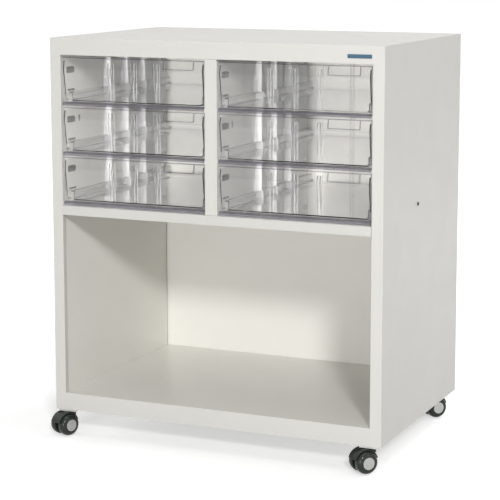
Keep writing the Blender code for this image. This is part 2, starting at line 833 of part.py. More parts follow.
clear_scene()
cabinet = bpy.data.collections.new("steel_storage_cabinet")
bpy.context.scene.collection.children.link(cabinet)
painted_steel = make_material("painted_steel", (0.78, 0.78, 0.74), 0.45, 0.0)
runner_steel = make_material("runner_steel", (0.70, 0.70, 0.68), 0.40, 0.3)
zinc_steel = make_material("zinc_steel", (0.62, 0.62, 0.60), 0.35, 1.0)
dark_steel = make_material("dark_steel", (0.10, 0.10, 0.10), 0.40, 0.8)
clear_plastic = make_material("clear_plastic", (0.86, 0.87, 0.92), 0.08, 0.0)
black_plastic = make_material("black_plastic", (0.045, 0.048, 0.045), 0.35, 0.0)
grey_plastic = make_material("grey_plastic", (0.55, 0.55, 0.53), 0.25, 0.0)
build_case()
build_drawers_and_runners()
build_casters()
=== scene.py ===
# Wheeled steel cabinet with clear drawers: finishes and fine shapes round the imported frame
import json
import math

import bmesh
import bpy
from mathutils import Matrix, Vector


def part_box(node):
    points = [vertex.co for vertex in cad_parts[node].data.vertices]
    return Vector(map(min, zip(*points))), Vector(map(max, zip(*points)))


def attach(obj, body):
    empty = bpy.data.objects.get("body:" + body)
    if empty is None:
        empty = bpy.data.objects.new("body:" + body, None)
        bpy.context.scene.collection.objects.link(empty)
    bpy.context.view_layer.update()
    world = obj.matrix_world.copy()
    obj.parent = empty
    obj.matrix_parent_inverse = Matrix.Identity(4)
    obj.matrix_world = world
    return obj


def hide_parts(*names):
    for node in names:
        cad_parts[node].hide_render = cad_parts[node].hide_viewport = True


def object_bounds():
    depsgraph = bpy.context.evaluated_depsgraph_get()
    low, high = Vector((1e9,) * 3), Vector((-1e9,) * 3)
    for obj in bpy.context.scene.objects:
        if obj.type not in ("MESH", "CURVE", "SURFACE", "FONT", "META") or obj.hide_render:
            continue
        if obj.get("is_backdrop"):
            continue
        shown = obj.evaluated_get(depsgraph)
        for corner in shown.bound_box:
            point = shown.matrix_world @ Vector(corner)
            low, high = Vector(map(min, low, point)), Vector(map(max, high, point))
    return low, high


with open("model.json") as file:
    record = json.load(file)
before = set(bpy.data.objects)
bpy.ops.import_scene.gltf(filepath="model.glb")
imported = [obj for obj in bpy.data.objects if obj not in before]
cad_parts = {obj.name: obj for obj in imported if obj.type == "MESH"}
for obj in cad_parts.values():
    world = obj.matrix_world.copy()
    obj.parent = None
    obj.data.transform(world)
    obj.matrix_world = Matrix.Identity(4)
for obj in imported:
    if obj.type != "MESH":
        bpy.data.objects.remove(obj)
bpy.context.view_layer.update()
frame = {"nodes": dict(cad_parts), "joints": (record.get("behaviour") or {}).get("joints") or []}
nodes = frame["nodes"]
joints = {joint["name"]: joint for joint in frame["joints"]}
scene = bpy.context.scene
rowNames = ("bottom", "middle", "top")
print("frame loaded with", len(nodes), "nodes")


# node materials; a noise is given by its scale and detail

noiseRange = (0.3, 0.7)


def startMaterial(name):
    material = bpy.data.materials.new(name)
    material.use_nodes = True
    tree = material.node_tree
    return material, tree, tree.nodes["Principled BSDF"]


def addNode(tree, kind, values=None, **settings):
    node = tree.nodes.new(kind)
    for key, value in settings.items():
        setattr(node, key, value)
    for key, value in (values or {}).items():
        node.inputs[key].default_value = value
    return node


def addNoise(tree, scale, detail=2.0, roughness=0.5, stretch=None):
    # noise in the piece's own metres, stretched where the finish has a direction
    coords = addNode(tree, "ShaderNodeTexCoord")
    noise = addNode(tree, "ShaderNodeTexNoise", {"Scale": scale, "Detail": detail, "Roughness": roughness})
    if stretch:
        mapping = addNode(tree, "ShaderNodeMapping", {"Scale": stretch})
        tree.links.new(coords.outputs["Object"], mapping.inputs["Vector"])
        tree.links.new(mapping.outputs["Vector"], noise.inputs["Vector"])
    else:
        tree.links.new(coords.outputs["Object"], noise.inputs["Vector"])
    return noise.outputs["Fac"]


def addSpread(tree, source, low, high):
    ends = {"From Min": noiseRange[0], "From Max": noiseRange[1], "To Min": low, "To Max": high}
    spread = addNode(tree, "ShaderNodeMapRange", ends)
    tree.links.new(source, spread.inputs["Value"])
    return spread.outputs["Result"]


def addTints(tree, source, first, second):
    ramp = addNode(tree, "ShaderNodeValToRGB")
    ramp.color_ramp.elements[0].position = noiseRange[0]
    ramp.color_ramp.elements[1].position = noiseRange[1]
    ramp.color_ramp.elements[0].color = (*first, 1)
    ramp.color_ramp.elements[1].color = (*second, 1)
    tree.links.new(source, ramp.inputs["Fac"])
    return ramp.outputs["Color"]


def addGrain(tree, shader, source, strength, distance):
    bump = addNode(tree, "ShaderNodeBump", {"Strength": strength, "Distance": distance})
    tree.links.new(source, bump.inputs["Height"])
    tree.links.new(bump.outputs["Normal"], shader.inputs["Normal"])


def addLook(tree, shader, look, tintNoise, roughNoise):
    tints = addTints(tree, tintNoise, look["dark"], look["light"])
    tree.links.new(tints, shader.inputs["Base Color"])
    tree.links.new(addSpread(tree, roughNoise, *look["roughness"]), shader.inputs["Roughness"])


# one powder coat in lit and shaded copies: the liner and bay floor copies are lighter than the case paint,
# painted light in the bay and behind the drawers, and the shelf copy is darker, painted shade
outerPaint = {"dark": (0.630, 0.620, 0.585), "light": (0.644, 0.634, 0.600),
              "roughness": (0.38, 0.48), "peel": 0.10}
shelfPaintShadedCopy = {"dark": (0.600, 0.592, 0.560), "light": (0.614, 0.606, 0.574),
              "roughness": (0.38, 0.48), "peel": 0.10}
innerPaintLitCopy = {"dark": (0.800, 0.786, 0.738), "light": (0.814, 0.800, 0.752),
              "roughness": (0.38, 0.48), "peel": 0.08}
floorPaintLitCopy = {"dark": (0.784, 0.774, 0.734), "light": (0.794, 0.784, 0.744),
              "roughness": (0.19, 0.20), "peel": 0.0}
runnerCoat = {"dark": (0.690, 0.682, 0.648), "light": (0.710, 0.702, 0.668),
              "roughness": (0.30, 0.42), "peel": 0.06}
paintNoise = {"cloud": (7, 4), "wear": (26, 3), "peel": (520, 2), "peelDepth": 0.0002}


def paintFinish(name, look):
    material, tree, shader = startMaterial(name)
    n = paintNoise
    addLook(tree, shader, look, addNoise(tree, *n["cloud"]), addNoise(tree, *n["wear"]))
    # orange peel of the powder coat
    addGrain(tree, shader, addNoise(tree, *n["peel"]), look["peel"], n["peelDepth"])
    return material


# the liner, bay floor and shelf finishes are painted light and painted shade on the one case paint
casePaint = paintFinish("case paint", outerPaint)
linerPaintLitCopy = paintFinish("liner paint lit copy", innerPaintLitCopy)
ridgePaintShadedCopy = paintFinish("shelf paint shaded copy", shelfPaintShadedCopy)
bayPaintLitCopy = paintFinish("bay floor paint lit copy", floorPaintLitCopy)
runnerPaint = paintFinish("runner coat", runnerCoat)

zincLook = {"dark": (0.44, 0.44, 0.43), "light": (0.54, 0.54, 0.53), "roughness": (0.32, 0.42),
            "stretch": (6, 6, 6)}
blackLook = {"dark": (0.010, 0.011, 0.010), "light": (0.024, 0.026, 0.024), "roughness": (0.40, 0.55),
             "stretch": (8, 8, 8)}
steelNoise = {"scale": 60, "detail": 4, "roughness": 0.6, "strength": 0.08, "depth": 0.0002}


def steelFinish(name, look):
    material, tree, shader = startMaterial(name)
    n = steelNoise
    shader.inputs["Metallic"].default_value = 1.0
    brushed = addNoise(tree, n["scale"], n["detail"], n["roughness"], look["stretch"])
    addLook(tree, shader, look, brushed, brushed)
    addGrain(tree, shader, brushed, n["strength"], n["depth"])
    return material


zincSteel = steelFinish("zinc steel", zincLook)
# dark steel for the spring tongues and side screws, and for the straps that paint shade in the punched holes
darkSteelAndShade = steelFinish("dark steel and painted shade", blackLook)

clearLook = {"tint": (0.98, 0.978, 0.974), "through": 0.992, "roughness": (0.005, 0.015),
             "gloss": 0.25, "pass": 0.88}
# greyer copy of the clear plastic on the side walls, passing less lamp light: painted shade
flankShadeLook = {"tint": (0.93, 0.928, 0.925), "through": 1.0, "roughness": (0.005, 0.015),
             "gloss": 0.12, "pass": 0.66}
# darker lavender tint on the lip, the pocket and the ledges: painted shade
edgeShadeLook = {"tint": (0.40, 0.38, 0.43), "through": 0.93, "roughness": (0.03, 0.08),
            "gloss": 0.30, "pass": 0.84}
# milky white on the side ribs and on the rear edges of the front ribs: painted highlight
ribHighlightLook = {"tint": (0.93, 0.925, 0.925), "through": 0.55, "roughness": (0.18, 0.28),
           "gloss": 0.30, "pass": 0.86}
frontRibHighlightLook = {"tint": (0.95, 0.945, 0.945), "through": 0.84, "roughness": (0.08, 0.14),
                "gloss": 0.30, "pass": 0.92}
plastic = {"index": 1.49, "haze": (40, 3), "flow": (30, 2, 0.5, (1, 1, 3)), "strength": 0.008, "depth": 0.001}


def clearFinish(name, look):
    material, tree, shader = startMaterial(name)
    shader.inputs["Base Color"].default_value = (*look["tint"], 1)
    shader.inputs["Transmission Weight"].default_value = look["through"]
    shader.inputs["IOR"].default_value = plastic["index"]
    shader.inputs["Specular IOR Level"].default_value = look["gloss"]
    haze = addSpread(tree, addNoise(tree, *plastic["haze"]), *look["roughness"])
    tree.links.new(haze, shader.inputs["Roughness"])
    # flow marks of the moulding
    addGrain(tree, shader, addNoise(tree, *plastic["flow"]), plastic["strength"], plastic["depth"])
    # lamp light passes on to what is inside
    path = addNode(tree, "ShaderNodeLightPath")
    passed = (look["pass"], look["pass"], look["pass"], 1)
    passing = addNode(tree, "ShaderNodeBsdfTransparent", {"Color": passed})
    choice = addNode(tree, "ShaderNodeMixShader")
    tree.links.new(path.outputs["Is Shadow Ray"], choice.inputs["Fac"])
    tree.links.new(shader.outputs["BSDF"], choice.inputs[1])
    tree.links.new(passing.outputs["BSDF"], choice.inputs[2])
    tree.links.new(choice.outputs["Shader"], tree.nodes["Material Output"].inputs["Surface"])
    return material


clearPlastic = clearFinish("clear plastic", clearLook)
edgeShadePlastic = clearFinish("edge shade plastic", edgeShadeLook)
ribHighlightPlastic = clearFinish("rib highlight plastic", ribHighlightLook)
frontRibHighlightPlastic = clearFinish("front rib highlight plastic", frontRibHighlightLook)
flankShadePlastic = clearFinish("side wall shade plastic", flankShadeLook)

tyreLook = {"dark": (0.010, 0.015, 0.010), "light": (0.018, 0.025, 0.017), "roughness": (0.12, 0.22),
            "gloss": 0.35, "speck": (300, 3), "wear": (90, 3), "grain": (900, 2), "strength": 0.06,
            "depth": 0.0002}


def tyreFinish(name, look):
    material, tree, shader = startMaterial(name)
    shader.inputs["Specular IOR Level"].default_value = look["gloss"]
    addLook(tree, shader, look, addNoise(tree, *look["speck"]), addNoise(tree, *look["wear"]))
    addGrain(tree, shader, addNoise(tree, *look["grain"]), look["strength"], look["depth"])
    return material


blackPlastic = tyreFinish("black plastic", tyreLook)

hubLook = {"dark": (0.38, 0.38, 0.37), "light": (0.46, 0.46, 0.45), "roughness": (0.20, 0.28),
           "turned": (1600, 2), "wear": (90, 2), "strength": 0.06, "depth": 0.0001}


def hubFinish(name, look):
    material, tree, shader = startMaterial(name)
    shader.inputs["Metallic"].default_value = 1.0
    turned = addNoise(tree, *look["turned"])
    addLook(tree, shader, look, turned, addNoise(tree, *look["wear"]))
    addGrain(tree, shader, turned, look["strength"], look["depth"])
    return material


hubMetal = hubFinish("hub metal", hubLook)
print("finishes made:", len(bpy.data.materials))


# mesh helpers

tiny = {"merge": 1e-6, "weld": 1e-7, "sliver": 5e-7}  # metres
flat = {"sheet": 1, "solid": 0.2}  # degrees


def addPrism(bm, outline, axis, start, end):
    # a closed outline pushed along one axis; the outline gives the other two axes in order
    first = [bm.verts.new((*pair[:axis], start, *pair[axis:])) for pair in outline]
    last = [bm.verts.new((*pair[:axis], end, *pair[axis:])) for pair in outline]
    bm.faces.new(first)
    bm.faces.new(last[::-1])
    for step in range(len(outline)):
        bm.faces.new((first[step], first[step - 1], last[step - 1], last[step]))
    return first + last


def addBox(bm, low, high):
    outline = [(low[0], low[1]), (high[0], low[1]), (high[0], high[1]), (low[0], high[1])]
    return addPrism(bm, outline, 2, low[2], high[2])


def roundOutline(corners, steps=5):
    # corners as (a, b, radius); a radius above 0 gives an arc there
    outline = []
    for index, (a, b, radius) in enumerate(corners):
        here = Vector((a, b))
        if radius <= 0:
            outline.append((a, b))
            continue
        back = (Vector(corners[index - 1][:2]) - here).normalized()
        ahead = (Vector(corners[(index + 1) % len(corners)][:2]) - here).normalized()
        half = back.angle(ahead) / 2
        reach = radius / math.tan(half)
        centre = here + (back + ahead).normalized() * radius / math.sin(half)
        first = here + back * reach - centre
        turn = (here + ahead * reach - centre).angle_signed(first)
        for step in range(steps + 1):
            outline.append(tuple(centre + Matrix.Rotation(turn * step / steps, 2) @ first))
    return outline


def turnProfile(bm, profile, segments, closed=True):
    # (along, radius) pairs turned about X
    rings = []
    for along, radius in profile:
        ring = []
        for step in range(segments):
            angle = 2 * math.pi * step / segments
            ring.append(bm.verts.new((along, radius * math.cos(angle), radius * math.sin(angle))))
        rings.append(ring)
    following = rings[1:] + rings[:1] if closed else rings[1:]
    for first, second in zip(rings, following):
        for step in range(segments):
            after = (step + 1) % segments
            bm.faces.new((first[step], first[after], second[after], second[step]))
    if not closed:
        bm.faces.new(rings[0])
        bm.faces.new(rings[-1])


def meshFrom(name, bm, sharpAngle=28):
    bmesh.ops.recalc_face_normals(bm, faces=bm.faces)
    mesh = bpy.data.meshes.new(name)
    bm.to_mesh(mesh)
    bm.free()
    mesh.polygons.foreach_set("use_smooth", [True] * len(mesh.polygons))
    mesh.set_sharp_from_angle(angle=math.radians(sharpAngle))
    return mesh


def workSolid(bm):
    bmesh.ops.recalc_face_normals(bm, faces=bm.faces)
    mesh = bpy.data.meshes.new("work")
    bm.to_mesh(mesh)
    bm.free()
    solid = bpy.data.objects.new("work", mesh)
    scene.collection.objects.link(solid)
    return solid


def combine(solid, tool, operation):
    # joins or cuts with a tool that is then thrown away
    step = solid.modifiers.new("combine", "BOOLEAN")
    step.operation = operation
    step.solver = "EXACT"
    step.use_self = True
    step.object = tool
    graph = bpy.context.evaluated_depsgraph_get()
    solid.data = bpy.data.meshes.new_from_object(solid.evaluated_get(graph))
    solid.modifiers.clear()
    bpy.data.objects.remove(tool)


def finishedSolid(solid):
    # the joined and cut solid, without doubled points and with its flat faces whole
    bm = bmesh.new()
    bm.from_mesh(solid.data)
    bpy.data.objects.remove(solid)
    bmesh.ops.dissolve_degenerate(bm, dist=tiny["sliver"], edges=bm.edges)
    bmesh.ops.dissolve_limit(bm, angle_limit=math.radians(flat["solid"]), verts=bm.verts, edges=bm.edges)
    return bm


def keepPiece(name, mesh, material, body):
    if not mesh.materials:
        mesh.materials.append(material)
    piece = bpy.data.objects.new(name, mesh)
    scene.collection.objects.link(piece)
    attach(piece, body)
    return piece


def roundEdges(piece, width, segments=2, angle=30):
    bevel = piece.modifiers.new("rounded edges", "BEVEL")
    bevel.width = width
    bevel.segments = segments
    bevel.limit_method = "ANGLE"
    bevel.angle_limit = math.radians(angle)
    weld = piece.modifiers.new("joined corners", "WELD")  # where short edges leave no room for the rounding
    weld.merge_threshold = tiny["weld"]


def evenShading(piece):
    weighted = piece.modifiers.new("even shading", "WEIGHTED_NORMAL")
    weighted.keep_sharp = True


def dress(node, material, rounding=0):
    node.data.materials.clear()
    node.data.materials.append(material)
    if rounding:
        roundEdges(node, rounding)


# sheet steel: flat cells joined along their folds, then rounded and given the sheet's thickness

def planeCells(axis, at, firsts, seconds, wanted=None):
    found = []
    for a0, a1 in zip(firsts, firsts[1:]):
        for b0, b1 in zip(seconds, seconds[1:]):
            if wanted is None or wanted((a0 + a1) / 2, (b0 + b1) / 2):
                corners = [(a0, b0), (a1, b0), (a1, b1), (a0, b1)]
                found.append([(*pair[:axis], at, *pair[axis:]) for pair in corners])
    return found


def sheetPiece(name, cells, sheet, fold, outside, material):
    bm = bmesh.new()
    for corners in cells:
        bm.faces.new([bm.verts.new(corner) for corner in corners])
    bmesh.ops.remove_doubles(bm, verts=bm.verts, dist=tiny["merge"])
    bmesh.ops.recalc_face_normals(bm, faces=bm.faces)
    bm.faces.ensure_lookup_table()
    if bm.faces[0].normal.dot(Vector(outside)) < 0:  # the first cell faces outwards
        bmesh.ops.reverse_faces(bm, faces=bm.faces)
    bmesh.ops.dissolve_limit(bm, angle_limit=math.radians(flat["sheet"]), verts=bm.verts, edges=bm.edges)
    mesh = bpy.data.meshes.new(name)
    bm.to_mesh(mesh)
    bm.free()
    mesh.polygons.foreach_set("use_smooth", [True] * len(mesh.polygons))
    piece = keepPiece(name, mesh, material, "cabinet")
    if fold:
        roundEdges(piece, fold, segments=4)
    thick = piece.modifiers.new("sheet", "SOLIDIFY")
    thick.thickness = sheet
    thick.offset = -1
    thick.use_even_offset = True
    evenShading(piece)
    return piece


shell = {"halfWidth": 0.300, "front": -0.200, "back": 0.200, "low": 0.045, "top": 0.690, "sheet": 0.001,
         "stile": 0.020, "inward": 0.010, "flange": 0.015, "floor": 0.075, "rail": 0.661, "fold": 0.0012}


def buildShell():
    s = shell
    w, inner = s["halfWidth"], s["halfWidth"] - s["stile"]
    lip = s["halfWidth"] - s["flange"]
    xs = [-w, -lip, -inner, inner, lip, w]
    ys = [s["front"], s["front"] + s["inward"], s["back"]]
    zs = [s["low"], s["floor"], s["rail"], s["top"]]

    def inFrame(x, z):
        return abs(x) > inner or not s["floor"] < z < s["rail"]

    def inFlange(x, z):
        return abs(x) > lip or z > s["rail"]

    cells = planeCells(0, -w, ys, zs) + planeCells(0, w, ys, zs)
    cells += planeCells(2, s["top"], xs, ys)
    cells += planeCells(1, s["front"], xs, zs, inFrame)
    cells += planeCells(1, s["back"], xs, zs, inFlange)
    for side in (-1, 1):
        cells += planeCells(0, side * inner, ys[:2], zs[1:3])
    piece = sheetPiece("caseShell", cells, s["sheet"], s["fold"], (-1, 0, 0), casePaint)
    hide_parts("left_side_panel", "right_side_panel", "top_panel")


tray = {"halfWidth": 0.2810, "front": -0.1983, "back": 0.1958, "level": 0.0750, "drop": 0.012,
        "sheet": 0.001, "fold": 0.0006}


def buildTray():
    t = tray
    xs, ys = [-t["halfWidth"], t["halfWidth"]], [t["front"], t["back"]]
    cells = planeCells(2, t["level"], xs, ys)
    cells += planeCells(1, t["front"], xs, [t["level"] - t["drop"], t["level"]])
    # bay floor in the lighter copy of the paint, painted light
    piece = sheetPiece("bayTray", cells, t["sheet"], t["fold"], (0, 0, 1), bayPaintLitCopy)
    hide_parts("bay_floor")


# walls beside the drawers, punched for the catches and the front ends of the runners
wall = {"liner": 0.2813, "front": -0.1987, "back": 0.1938, "low": 0.0466, "top": 0.6886, "sheet": 0.001,
        "rows": (0.4055, 0.4905, 0.5755), "catchY": (-0.177, -0.154), "catchLift": (0.053, 0.064),
        "hookY": (-0.140, -0.133), "slotY": (-0.176, -0.150), "slotLift": (0.0224, 0.0262)}


def isSheet(y, z):
    # false in the punched holes
    for row, base in enumerate(wall["rows"]):
        lift = z - base
        if wall["catchLift"][0] < lift < wall["catchLift"][1]:
            if wall["catchY"][0] < y < wall["catchY"][1]:
                return False
            if rowNames[row] == "middle" and wall["hookY"][0] < y < wall["hookY"][1]:
                return False
        if wall["slotLift"][0] < lift < wall["slotLift"][1] and wall["slotY"][0] < y < wall["slotY"][1]:
            return False
    return True


def wallBreaks(front, back, low, top):
    ys = sorted({front, back, *wall["catchY"], *wall["hookY"], *wall["slotY"]})
    lifts = [base + lift for base in wall["rows"] for lift in (*wall["catchLift"], *wall["slotLift"])]
    return ys, sorted({low, top, *lifts})


def buildLiners():
    ys, zs = wallBreaks(wall["front"], wall["back"], wall["low"], wall["top"])
    for name, side in (("left", -1), ("right", 1)):
        cells = planeCells(0, side * wall["liner"], ys, zs, isSheet)
        piece = sheetPiece(name + "Liner", cells, wall["sheet"], 0, (-side, 0, 0), linerPaintLitCopy)
        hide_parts(name + "_liner")


mullion = {"half": 0.011, "face": 0.0097, "low": 0.4043, "top": 0.6607, "inward": 0.010, "step": 0.0013,
           "fold": 0.0008}


def buildMullion():
    m = mullion
    edgeY = shell["front"] + m["inward"]
    ys, zs = wallBreaks(edgeY + m["step"], wall["back"], m["low"], m["top"])
    cells = []
    for side in (-1, 1):
        cells += planeCells(0, side * m["face"], ys, zs, isSheet)
    path = [(-m["face"], ys[0]), (-m["half"], edgeY), (-m["half"], shell["front"]),
            (m["half"], shell["front"]), (m["half"], edgeY), (m["face"], ys[0])]
    for low, top in zip(zs, zs[1:]):
        for a, b in zip(path, path[1:]):
            cells.append([(*a, low), (*b, low), (*b, top), (*a, top)])
    piece = sheetPiece("mullion", cells, wall["sheet"], m["fold"], (-1, 0, 0), casePaint)
    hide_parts("centre_partition")


tongue = {"half": 0.0044, "root": -0.1785, "tip": -0.156, "reach": 0.0031, "sheet": 0.0006,
          "rootOut": 0.0002, "bendOut": 0.0010, "bendAfter": 0.007, "crestBefore": 0.003, "tipBack": 0.0006,
          "rounding": 0.0002}
# dark straps just behind the punched holes: painted shade
shadeStrap = {"y": (-0.177, -0.133), "behind": (0.0012, 0.0016), "over": 0.001}


def buildTongues():
    # one spring strip per catch hole, bent towards the drawer, and dark straps behind the holes as painted
    # shade in them
    t, over = tongue, shadeStrap["over"]
    bend = [(t["rootOut"], t["root"]), (t["bendOut"], t["root"] + t["bendAfter"]),
            (t["reach"], t["tip"] - t["crestBefore"]), (t["reach"] - t["tipBack"], t["tip"])]
    holes = [(wall["slotY"], wall["slotLift"]), (shadeStrap["y"], wall["catchLift"])]
    bm = bmesh.new()
    faces = [(-wall["liner"], 1), (wall["liner"], -1), (-mullion["face"], -1), (mullion["face"], 1)]
    for face, toward in faces:
        near = [(face + toward * (out - t["sheet"]), y) for out, y in bend]
        far = [(face + toward * out, y) for out, y in bend]
        x0, x1 = sorted(face - toward * depth for depth in shadeStrap["behind"])
        for base in wall["rows"]:
            middle = base + sum(wall["catchLift"]) / 2
            addPrism(bm, near + far[::-1], 2, middle - t["half"], middle + t["half"])
            for (y0, y1), (z0, z1) in holes:
                addBox(bm, (x0, y0 - over, base + z0 - over), (x1, y1 + over, base + z1 + over))
    piece = keepPiece("catchTongues", meshFrom("catchTongues", bm), darkSteelAndShade, "cabinet")
    roundEdges(piece, t["rounding"])


plate = {"left": 0.238, "right": 0.279, "low": 0.6693, "top": 0.6757, "corner": 0.0012, "proud": 0.0008,
         "sunk": 0.0002, "rounding": 0.0003}
plateLook = {"dark": (0.026, 0.085, 0.150), "light": (0.032, 0.098, 0.170), "roughness": (0.28, 0.38),
             "cloud": (120, 3), "wear": (60, 2)}


def buildPlate():
    # small blank plate on the top rail
    p, look = plate, plateLook
    material, tree, shader = startMaterial("plate enamel")
    addLook(tree, shader, look, addNoise(tree, *look["cloud"]), addNoise(tree, *look["wear"]))
    bm = bmesh.new()
    corners = [(p["left"], p["low"]), (p["right"], p["low"]), (p["right"], p["top"]), (p["left"], p["top"])]
    outline = roundOutline([(*pair, p["corner"]) for pair in corners])
    addPrism(bm, outline, 1, shell["front"] - p["proud"], shell["front"] + p["sunk"])
    piece = keepPiece("blankPlate", meshFrom("blankPlate", bm), material, "cabinet")
    roundEdges(piece, p["rounding"], angle=40)


backScrew = {"across": 0.2925, "levels": (0.075, 0.265, 0.455, 0.645), "radius": 0.0034, "rise": 0.0013,
             "sunk": 0.0003, "dome": ((0.45, 0.97), (0.85, 0.7), (1, 0.3)), "segments": 32,
             "slot": 0.0008, "slotFrom": 0.45, "slotReach": 0.01, "turn": 37}


def buildBackScrews():
    # slotted screw heads down both back flanges
    s = backScrew
    profile = [(-s["sunk"], s["radius"])]
    profile += [(s["rise"] * up, s["radius"] * out) for up, out in s["dome"]]
    bm = bmesh.new()
    turnProfile(bm, profile, s["segments"], closed=False)
    head = workSolid(bm)
    bm = bmesh.new()
    reach, half = s["slotReach"], s["slot"] / 2
    addBox(bm, (s["rise"] * s["slotFrom"], -reach, -half), (reach, reach, half))
    combine(head, workSolid(bm), "DIFFERENCE")
    bm = bmesh.new()
    for step, (side, level) in enumerate((side, level) for side in (-1, 1) for level in s["levels"]):
        place = Matrix.Translation((side * s["across"], shell["back"], level))
        facing = Matrix.Rotation(math.radians(90), 4, "Z")
        spun = facing @ Matrix.Rotation(math.radians(s["turn"] * step), 4, "X")
        head.data.transform(place @ spun)
        bm.from_mesh(head.data)
        head.data.transform((place @ spun).inverted())
    bpy.data.objects.remove(head)
    keepPiece("backScrews", meshFrom("backScrews", bm), zincSteel, "cabinet")


buildShell()
buildTray()
buildLiners()
buildMullion()
buildTongues()
buildPlate()
buildBackScrews()
# back panel in the lighter copy of the paint, painted light; the shelf in the darker copy, painted shade
dress(nodes["back_panel"], linerPaintLitCopy)
dress(nodes["middle_shelf"], ridgePaintShadedCopy, rounding=0.0004)
dress(nodes["bottom_plate"], casePaint, rounding=0.0003)
for name in ("left_side_screw", "right_side_screw"):
    dress(nodes[name], darkSteelAndShade, rounding=0.0004)
print("case dressed")


# drawers: one moulding, built once and placed six times

drawer = {"frontHalf": 0.132, "bodyHalf": 0.131, "lowerHalf": 0.1238, "height": 0.082, "sideTop": 0.076,
          "deep": 0.3884, "wall": 0.002, "frontWall": 0.0025, "floor": 0.0075, "ledge": 0.020,
          "corner": 0.003, "bandTop": 0.005, "creaseAt": 0.001, "crease": 0.063, "lip": 0.006,
          "lipAt": 0.001, "lipCorner": 0.009, "bead": 0.0018, "beadRise": 0.0005, "nose": 0.0222,
          "noseCorner": 0.002}
panelRound = {"foot": 0.0006, "lip": 0.0012, "crease": 0.004, "top": 0.0006, "topBack": 0.0007,
              "creaseBack": 0.002, "lipBack": 0.0008, "lipUnder": 0.0004}
ribs = {"side": (0.38, 0.553, 0.726), "end": (1 / 3, 1 / 2, 2 / 3), "slot": 0.0035, "upperLong": 0.014,
        "topShare": 0.3, "lowerLong": 0.026, "upperCrest": 0.1205, "lowerCrest": 0.1178, "endWidth": 0.002,
        "height": 0.003, "endTop": 0.074, "below": 0.003, "pad": 0.013, "padRise": 0.001, "swell": 0.97,
        "steps": 14}
label = {"width": 0.056, "inset": 0.0176, "lift": 0.0025, "rim": 0.0017, "rise": 0.0012, "corner": 0.0012,
         "innerCorner": 0.0006}
lug = {"out": 0.003, "behind": (0.016, 0.004), "lift": (0.054, 0.063)}
cutter = {"over": 0.01, "beyond": 0.2}
bandLean = (drawer["bandTop"] - drawer["creaseAt"]) / (drawer["height"] - drawer["crease"])


def tubSolid(inset, low, top, ahead, touching=1e-5, shortest=0.001):
    # stepped box of the drawer body, rounded at the floor and the back corners
    d = drawer
    wide, narrow, step = d["bodyHalf"] - inset, d["lowerHalf"] - inset, d["ledge"] + inset
    outline = [(-wide, top), (-wide, step), (-narrow, step), (-narrow, low),
               (narrow, low), (narrow, step), (wide, step), (wide, top)]
    bm = bmesh.new()
    behind = d["deep"] - inset
    addPrism(bm, outline, 1, ahead, behind)
    bmesh.ops.recalc_face_normals(bm, faces=bm.faces)
    chosen = []
    for edge in bm.edges:
        ends = [vert.co for vert in edge.verts]
        atBack = min(end.y for end in ends) > behind - touching
        onFloor = max(end.z for end in ends) < low + touching
        upright = abs(ends[0].z - ends[1].z) > shortest
        lengthwise = abs(ends[0].y - ends[1].y) > shortest
        if (upright and atBack) or (onFloor and (atBack or lengthwise)):
            chosen.append(edge)
    bmesh.ops.bevel(bm, geom=chosen, offset=d["corner"], segments=5, profile=0.5, affect="EDGES",
                    clamp_overlap=True)
    return workSolid(bm)


def noseSolid(inset, low, top, ahead):
    # full width down to the floor just behind the front panel, ahead of the runners
    d = drawer
    half, behind = d["bodyHalf"] - inset, d["nose"] - inset
    corners = [(-half, low, d["noseCorner"]), (half, low, d["noseCorner"]), (half, top, 0), (-half, top, 0)]
    bm = bmesh.new()
    addPrism(bm, roundOutline(corners), 1, ahead, behind)
    return workSolid(bm)


def panelOutline():
    # front panel from the side: pull lip, sloped face, crease and leaning top band
    d, r, t = drawer, panelRound, drawer["frontWall"]
    beadLow, rise = d["height"] - d["bead"], d["beadRise"]
    beadAt = d["bandTop"] - bandLean * d["bead"]
    return roundOutline([
        (d["lipAt"], 0, r["foot"]), (d["lipAt"], d["lip"], r["lip"]), (d["lipCorner"], d["lip"], r["lip"]),
        (d["creaseAt"], d["crease"], r["crease"]), (beadAt, beadLow, 0), (beadAt - rise, beadLow, 0),
        (d["bandTop"] - rise, d["height"], r["top"]), (d["bandTop"] + t, d["height"], r["topBack"]),
        (d["creaseAt"] + t, d["crease"], r["creaseBack"]), (d["lipCorner"] + t, d["lip"], 0),
        (d["lipCorner"] + t, d["lip"] - t, r["lipBack"]), (d["lipAt"] + t, d["lip"] - t, r["lipUnder"]),
        (d["lipAt"] + t, 0, r["foot"])])


def rampRib(side, inner, crest, slotFace, reach):
    # rib that swells out of the side wall up to its divider slot
    bite, swell, steps = drawer["wall"] / 2, ribs["swell"], ribs["steps"]
    far = slotFace + reach
    outline = []
    for step in range(steps + 1):
        t = swell * step / steps
        rise = (1 - math.sqrt(1 - t * t)) / (1 - math.sqrt(1 - swell ** 2))
        outline.append((side * (inner - rise * (inner - crest)), far + (slotFace - far) * step / steps))
    return outline + [(side * (inner + bite), slotFace), (side * (inner + bite), far)]


def addSideRibs(bm):
    d, r = drawer, ribs
    bite = d["wall"] / 2
    upperInner, lowerInner = d["bodyHalf"] - d["wall"], d["lowerHalf"] - d["wall"]
    start, behind = d["bandTop"] + d["frontWall"], d["deep"] - d["wall"]
    low, ledge, top = d["floor"] + bite, d["ledge"] + bite, d["sideTop"] - r["below"]
    for share in r["side"]:
        station = start + share * (behind - start)
        for side in (-1, 1):
            for step in (-1, 1):
                face = station + step * r["slot"] / 2
                upper = rampRib(side, upperInner, r["upperCrest"], face, step * r["upperLong"])
                for vert in addPrism(bm, upper, 2, ledge, top)[len(upper):]:
                    vert.co.y = face + (vert.co.y - face) * r["topShare"]  # ribs narrow upwards
                lower = rampRib(side, lowerInner, r["lowerCrest"], face, step * r["lowerLong"])
                addPrism(bm, lower, 2, low, ledge)


